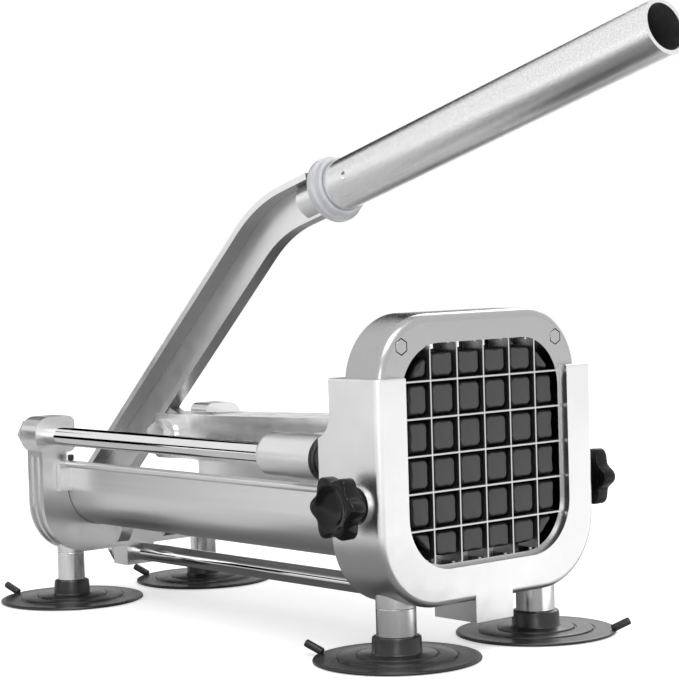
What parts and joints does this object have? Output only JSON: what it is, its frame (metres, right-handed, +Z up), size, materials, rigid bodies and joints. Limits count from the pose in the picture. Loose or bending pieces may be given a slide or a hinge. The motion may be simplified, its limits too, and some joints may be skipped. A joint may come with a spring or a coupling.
{
  "type": "french fry cutter",
  "caption": "Bench lever press that drives a post-faced push block along guide rods, through a square blade grid, standing on suction cup feet.",
  "frame": {"origin": "middle of the bounding box in X and Y, on the bench under the suction cups in Z", "axes": "+X to the right seen from the front, +Y from the blade grid to the lever's pivot, +Z up"},
  "size_m": [0.129, 0.3332, 0.2175],
  "materials": {
    "cast_aluminium": "satin cast",
    "frame_aluminium": "satin",
    "blade_steel": "bright",
    "pin_steel": "satin",
    "trough_steel": "satin",
    "rod_chrome": "polished",
    "zinc_steel": "satin",
    "leg_aluminium": "bright",
    "lever_aluminium": "satin cast",
    "link_aluminium": "satin",
    "tube_steel": "frosted",
    "clear_collar": "milky",
    "black_rubber": "matte",
    "cup_rubber": "satin",
    "black_plastic": "satin",
    "knob_plastic": "gloss",
    "nylon": "matte"
  },
  "bodies": {
    "base": {"front_housing": "cast_aluminium", "blade_frame": "frame_aluminium", "vertical_blades": "blade_steel", "horizontal_blades": "blade_steel", "blade_pins": "pin_steel", "frame_screws": "pin_steel", "rear_bracket": "cast_aluminium", "trough": "trough_steel", "upper_rods": "rod_chrome", "lower_rod": "rod_chrome", "rod_nuts": "zinc_steel", "rod_rings": "black_rubber", "rim_pads": "black_rubber", "front_legs": "leg_aluminium", "rear_legs": "leg_aluminium", "leg_screws": "zinc_steel", "suction_cups": "cup_rubber", "pivot_bolt": "zinc_steel", "pivot_nut": "zinc_steel"},
    "carriage": {"carriage": "cast_aluminium", "sleeve_bushings": "nylon", "push_block": "black_plastic", "block_screws": "zinc_steel"},
    "lever": {"lever_arm": "lever_aluminium", "pivot_bushing": "nylon", "handle_tube": "tube_steel", "handle_collar": "clear_collar", "handle_pin": "zinc_steel"},
    "link": {"link": "link_aluminium", "link_bolt": "zinc_steel", "link_nut": "zinc_steel", "link_front_pin": "zinc_steel"},
    "left_clamp": {"left_pad": "nylon"},
    "left_star": {"left_stem": "zinc_steel", "left_knob": "knob_plastic"},
    "right_clamp": {"right_pad": "nylon"},
    "right_star": {"right_stem": "zinc_steel", "right_knob": "knob_plastic"}
  },
  "joints": [
    {"name": "lever_hinge", "type": "hinge", "parent": "base", "child": "lever", "pos_m": [0, 0.15664, 0.04], "axis": [-1, 0, 0], "range_deg": [0, 100]},
    {"name": "link_hinge", "type": "hinge", "parent": "lever", "child": "link", "pos_m": [0, 0.09684, 0.0673], "axis": [1, 0, 0], "range_deg": [0, 113.2]},
    {"name": "carriage_slide", "type": "slide", "parent": "base", "child": "carriage", "axis": [0, 1, 0], "range_m": [0, 0.0995]},
    {"name": "left_pad_slide", "type": "slide", "parent": "base", "child": "left_clamp", "axis": [-1, 0, 0], "range_m": [0, 0.005]},
    {"name": "left_knob_turn", "type": "hinge", "parent": "left_clamp", "child": "left_star", "pos_m": [-0.06, -0.07036, 0.055], "axis": [-1, 0, 0], "range_deg": [0, 1440]},
    {"name": "right_pad_slide", "type": "slide", "parent": "base", "child": "right_clamp", "axis": [1, 0, 0], "range_m": [0, 0.005]},
    {"name": "right_knob_turn", "type": "hinge", "parent": "right_clamp", "child": "right_star", "pos_m": [0.06, -0.07036, 0.055], "axis": [1, 0, 0], "range_deg": [0, 1440]}
  ],
  "couplings": [
    {"joint": "link_hinge", "follows": "lever_hinge", "ratio": 1.1309},
    {"joint": "carriage_slide", "follows": "lever_hinge", "m_per_rad": 0.057001},
    {"joint": "left_pad_slide", "follows": "left_knob_turn", "m_per_rad": 0.00019894},
    {"joint": "right_pad_slide", "follows": "right_knob_turn", "m_per_rad": 0.00019894}
  ]
}
